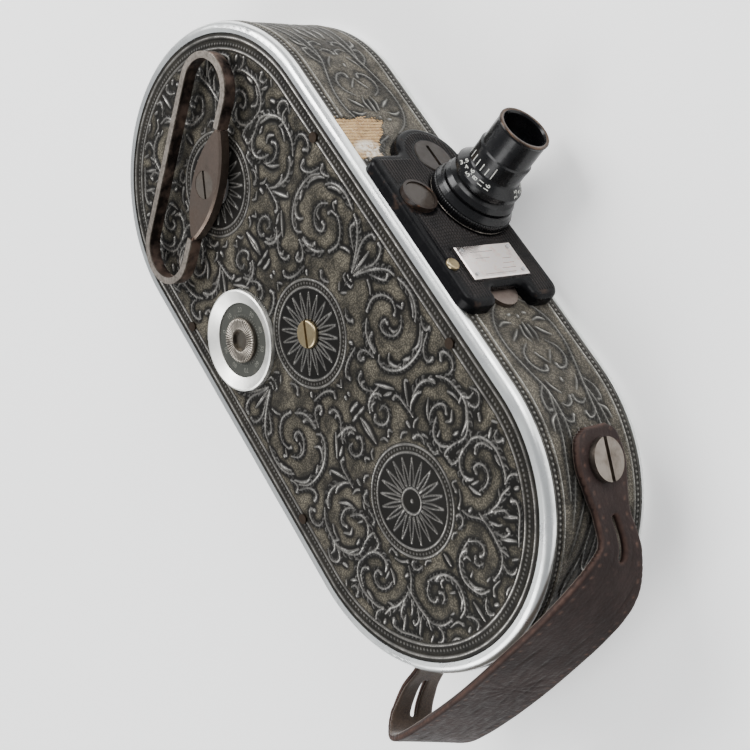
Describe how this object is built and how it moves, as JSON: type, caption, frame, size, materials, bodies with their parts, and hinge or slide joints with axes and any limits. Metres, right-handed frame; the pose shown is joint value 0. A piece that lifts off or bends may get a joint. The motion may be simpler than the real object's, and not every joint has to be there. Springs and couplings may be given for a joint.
{
  "type": "cine camera",
  "caption": "Flat round-ended spring-wound cine camera with embossed covering, side winding key, footage dial, round finder, front lens on a ribbed plate and a leather hand strap.",
  "frame": {"origin": "centre of the resting plane under the film door", "axes": "+X out of the lens, +Y towards the key end, +Z out of the key side"},
  "size_m": [0.1416, 0.2218, 0.0456],
  "materials": {
    "polished_rim": "satin",
    "embossed_covering": "embossed, antique silver on black",
    "black_plate": "ribbed black",
    "black_lens": "gloss black",
    "nickel": "tarnished nickel",
    "brass": "aged",
    "silver_plate": "satin",
    "steel": "machined",
    "black_paint": "satin black",
    "glass": "coated glass",
    "strap_leather": "worn dark brown"
  },
  "bodies": {
    "casing": {"main_casing": "polished_rim", "band_covering": "embossed_covering", "key_side_covering": "embossed_covering", "face_rivets": "nickel", "medallion_screw": "brass", "tripod_bush": "brass", "front_plate": "black_plate", "nameplate": "silver_plate", "nameplate_pins": "silver_plate", "plate_rivet": "brass", "slotted_plug": "nickel", "finder_front_ring": "black_plate", "finder_front_glass": "glass", "finder_tube": "brass", "finder_eyepiece": "black_plate", "finder_eye_glass": "glass", "lens_barrel": "black_lens", "lens_middle_element": "glass", "lens_rear_element": "glass", "mechanism_plate": "steel", "plate_pillars": "brass", "gate_plate": "steel", "click_stud": "steel", "dial_bezel": "polished_rim", "hand_strap": "strap_leather", "strap_screws": "nickel"},
    "lens_ring": {"lens_front_ring": "black_lens", "lens_front_element": "glass"},
    "key": {"key_hub": "nickel", "key_screw": "nickel", "key_arbor": "steel"},
    "bail": {"key_bail": "nickel"},
    "click": {"click_pawl": "steel"},
    "drum": {"great_wheel": "brass", "spring_drum": "steel", "mainspring": "steel"},
    "intermediate": {"intermediate_gear": "brass"},
    "sprocket": {"sprocket_gear": "steel", "film_sprocket": "steel"},
    "transfer": {"transfer_gear": "brass"},
    "shutter_drive": {"shutter_arbor": "steel"},
    "shutter": {"shutter_shaft": "steel", "shutter_disc": "black_paint"},
    "governor": {"governor_arbor": "steel", "governor_weights": "brass"},
    "idler": {"takeup_idler": "brass"},
    "takeup": {"takeup_spindle": "steel", "takeup_spool": "black_paint"},
    "supply": {"supply_spindle": "steel"},
    "dial": {"dial_disc": "black_paint", "dial_knob": "nickel", "dial_gear": "brass"},
    "claw": {"film_claw": "steel"},
    "pressure": {"pressure_plate": "steel"},
    "start": {"start_lever": "nickel"},
    "door": {"door_panel": "polished_rim", "door_covering": "embossed_covering"},
    "lock": {"lock_disc": "nickel"},
    "bolt_top": {"lock_bolt_top": "steel"},
    "bolt_bottom": {"lock_bolt_bottom": "steel"}
  },
  "joints": [
    {"name": "aperture_turn", "type": "hinge", "parent": "casing", "child": "lens_ring", "pos_m": [0.075, 0, 0.0144], "axis": [1, 0, 0], "range_deg": [0, 100]},
    {"name": "key_turn", "type": "hinge", "parent": "casing", "child": "key", "pos_m": [0, 0.058, 0.03], "axis": [0, 0, 1], "continuous": true},
    {"name": "bail_fold", "type": "hinge", "parent": "key", "child": "bail", "pos_m": [0, 0.058, 0.0436], "axis": [0.9272, 0.3746, 0], "range_deg": [0, 90]},
    {"name": "click_lift", "type": "hinge", "parent": "casing", "child": "click", "pos_m": [-0.01504, 0.05253, 0.0372], "axis": [0, 0, 1], "range_deg": [0, 8], "stiffness_Nm_per_rad": 0.002, "springref_deg": -5.73},
    {"name": "drum_turn", "type": "hinge", "parent": "casing", "child": "drum", "pos_m": [0, 0.058, 0.03], "axis": [0, 0, 1], "continuous": true},
    {"name": "intermediate_turn", "type": "hinge", "parent": "casing", "child": "intermediate", "pos_m": [0.00585, 0.01641, 0.03], "axis": [0, 0, 1], "continuous": true},
    {"name": "sprocket_turn", "type": "hinge", "parent": "casing", "child": "sprocket", "pos_m": [0.00793, 0.00155, 0.03], "axis": [0, 0, 1], "continuous": true},
    {"name": "transfer_turn", "type": "hinge", "parent": "casing", "child": "transfer", "pos_m": [0.02342, -0.00547, 0.03], "axis": [0, 0, 1], "continuous": true},
    {"name": "shutter_drive_turn", "type": "hinge", "parent": "casing", "child": "shutter_drive", "pos_m": [0.0382, -0.008, 0.03], "axis": [0, 0, 1], "continuous": true},
    {"name": "shutter_turn", "type": "hinge", "parent": "casing", "child": "shutter", "pos_m": [0.043, -0.008, 0.0195], "axis": [1, 0, 0], "continuous": true},
    {"name": "governor_turn", "type": "hinge", "parent": "casing", "child": "governor", "pos_m": [0.02952, -0.01917, 0.03], "axis": [0, 0, 1], "continuous": true},
    {"name": "idler_turn", "type": "hinge", "parent": "casing", "child": "idler", "pos_m": [0.00799, -0.0245, 0.03], "axis": [0, 0, 1], "continuous": true},
    {"name": "takeup_turn", "type": "hinge", "parent": "casing", "child": "takeup", "pos_m": [0, -0.056, 0.03], "axis": [0, 0, 1], "continuous": true},
    {"name": "supply_turn", "type": "hinge", "parent": "casing", "child": "supply", "pos_m": [0, 0.056, 0.03], "axis": [0, 0, 1], "continuous": true},
    {"name": "dial_turn", "type": "hinge", "parent": "casing", "child": "dial", "pos_m": [-0.02539, 0.01815, 0.03], "axis": [0, 0, 1], "continuous": true},
    {"name": "claw_stroke", "type": "slide", "parent": "casing", "child": "claw", "axis": [0, -1, 0], "range_m": [0, 0.00762]},
    {"name": "pressure_lift", "type": "slide", "parent": "casing", "child": "pressure", "axis": [-1, 0, 0], "range_m": [0, 0.0016], "stiffness_N_per_m": 150, "springref_m": -0.001},
    {"name": "start_press", "type": "slide", "parent": "casing", "child": "start", "axis": [0, -1, 0], "range_m": [0, 0.003], "stiffness_N_per_m": 200, "springref_m": -0.002},
    {"name": "door_lift", "type": "slide", "parent": "casing", "child": "door", "axis": [0, 0, -1], "range_m": [0, 0.03]},
    {"name": "lock_turn", "type": "hinge", "parent": "door", "child": "lock", "pos_m": [0, 0, 0.001], "axis": [0, 0, -1], "range_deg": [0, 90]},
    {"name": "bolt_top_slide", "type": "slide", "parent": "door", "child": "bolt_top", "axis": [0, 1, 0], "range_m": [0, 0.003]},
    {"name": "bolt_bottom_slide", "type": "slide", "parent": "door", "child": "bolt_bottom", "axis": [0, -1, 0], "range_m": [0, 0.003]}
  ],
  "couplings": [
    {"joint": "intermediate_turn", "follows": "drum_turn", "ratio": -6},
    {"joint": "sprocket_turn", "follows": "drum_turn", "ratio": 12},
    {"joint": "transfer_turn", "follows": "drum_turn", "ratio": -5},
    {"joint": "shutter_drive_turn", "follows": "drum_turn", "ratio": 20},
    {"joint": "shutter_turn", "follows": "drum_turn", "ratio": -20},
    {"joint": "governor_turn", "follows": "drum_turn", "ratio": 20},
    {"joint": "idler_turn", "follows": "drum_turn", "ratio": 4.8},
    {"joint": "takeup_turn", "follows": "drum_turn", "ratio": -3},
    {"joint": "dial_turn", "follows": "drum_turn", "ratio": -3.2},
    {"joint": "bolt_top_slide", "follows": "lock_turn", "m_per_rad": 0.0019097},
    {"joint": "bolt_bottom_slide", "follows": "lock_turn", "m_per_rad": 0.0019097}
  ]
}
